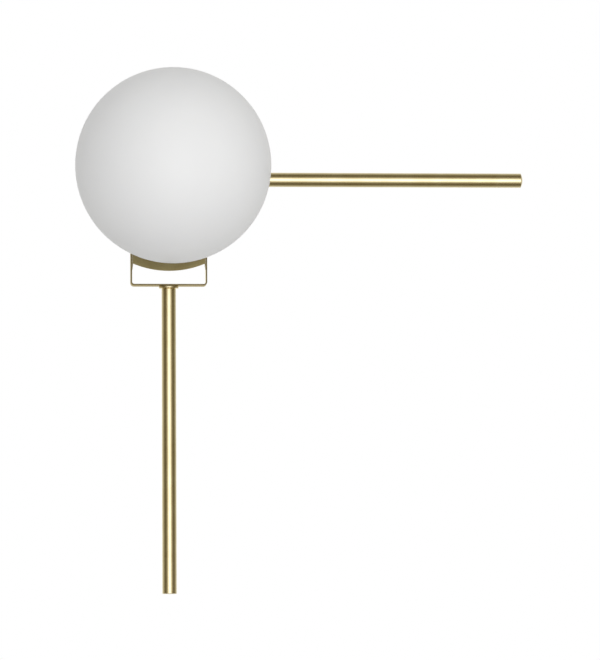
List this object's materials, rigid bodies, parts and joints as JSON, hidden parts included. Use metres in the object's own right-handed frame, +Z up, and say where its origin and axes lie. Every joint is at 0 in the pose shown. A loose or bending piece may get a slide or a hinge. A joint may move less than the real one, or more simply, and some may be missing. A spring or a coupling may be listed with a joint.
{
  "type": "wall light",
  "caption": "Wall light with an opal glass globe that tilts in a thin strap yoke, with one rod hanging down, one rod reaching sideways and a round wall canopy.",
  "frame": {"origin": "middle of the two wall slots, on the wall's surface", "axes": "+Z up, +Y into the wall, +X to the right of someone who faces the lamp, so the lamp lies at Y below 0"},
  "size_m": [0.4725, 0.2661, 0.533],
  "materials": {
    "satin_brass": "satin, finely brushed and lacquered",
    "raw_brass": "machined, unlacquered",
    "zinc_steel": "zinc plated",
    "block_plastic": "moulded, fine grain",
    "live_insulation": "smooth extruded",
    "neutral_insulation": "smooth extruded",
    "earth_insulation": "smooth extruded, striped",
    "flex_sheath": "smooth extruded",
    "friction_fibre": "pressed fibre",
    "silicone": "soft, translucent",
    "opal_glass": "opal, acid-etched satin",
    "holder_plastic": "moulded heat-resistant resin",
    "bulb_metal": "rolled, bright",
    "bulb_plastic": "moulded white",
    "bulb_diffuser": "frosted diffuser"
  },
  "bodies": {
    "wall_side": {"wall_bracket": "zinc_steel", "canopy": "satin_brass", "canopy_screws": "satin_brass", "earth_tag": "zinc_steel", "earth_screw": "zinc_steel", "terminal_block": "block_plastic", "terminal_screws": "zinc_steel", "live_core": "live_insulation", "neutral_core": "neutral_insulation", "earth_core": "earth_insulation", "stem_nipple": "raw_brass", "stem_nut_rear": "raw_brass", "stem_nut_front": "raw_brass", "stem_washer_rear": "zinc_steel", "stem_washer_front": "zinc_steel", "stem_sleeve": "satin_brass", "yoke": "satin_brass", "rear_bridge": "satin_brass", "bridge_rivets": "satin_brass", "left_pivot_screw": "satin_brass", "friction_washers": "friction_fibre", "pivot_washers": "zinc_steel", "pivot_nuts": "zinc_steel", "side_arm_collar": "satin_brass", "side_arm": "satin_brass", "side_arm_stud": "raw_brass", "side_arm_end_cap": "satin_brass", "drop_rod_collar": "satin_brass", "drop_rod": "satin_brass", "drop_rod_plug": "raw_brass", "drop_rod_screw": "zinc_steel", "drop_rod_end_cap": "satin_brass", "flex_rear": "flex_sheath", "flex_middle": "flex_sheath"},
    "globe_carrier": {"carrier_plate": "satin_brass", "gallery": "satin_brass", "gallery_screws": "raw_brass", "gallery_nuts": "raw_brass", "seat_ring": "silicone", "globe": "opal_glass", "lampholder_nipple": "raw_brass", "lampholder_nut": "raw_brass", "lampholder_washer": "zinc_steel", "lampholder": "holder_plastic", "screw_shell": "raw_brass", "centre_contact": "raw_brass", "bulb_contact": "bulb_metal", "bulb_cap": "bulb_metal", "bulb_body": "bulb_plastic", "bulb_dome": "bulb_diffuser", "flex_front": "flex_sheath"},
    "thumbscrew_top": {"thumbscrew_top": "satin_brass"},
    "thumbscrew_lower_left": {"thumbscrew_lower_left": "satin_brass"},
    "thumbscrew_lower_right": {"thumbscrew_lower_right": "satin_brass"}
  },
  "joints": [
    {"name": "globe_tilt", "type": "hinge", "parent": "wall_side", "child": "globe_carrier", "pos_m": [0, -0.0485, 0], "axis": [1, 0, 0], "range_deg": [-25, 25], "deforming": ["flex_middle"]},
    {"name": "thumbscrew_top_travel", "type": "slide", "parent": "globe_carrier", "child": "thumbscrew_top", "axis": [0, 0, 1], "range_m": [0, 0.0024]},
    {"name": "thumbscrew_lower_left_travel", "type": "slide", "parent": "globe_carrier", "child": "thumbscrew_lower_left", "axis": [-0.5736, 0, -0.8192], "range_m": [0, 0.0024]},
    {"name": "thumbscrew_lower_right_travel", "type": "slide", "parent": "globe_carrier", "child": "thumbscrew_lower_right", "axis": [0.5736, 0, -0.8192], "range_m": [0, 0.0024]}
  ]
}
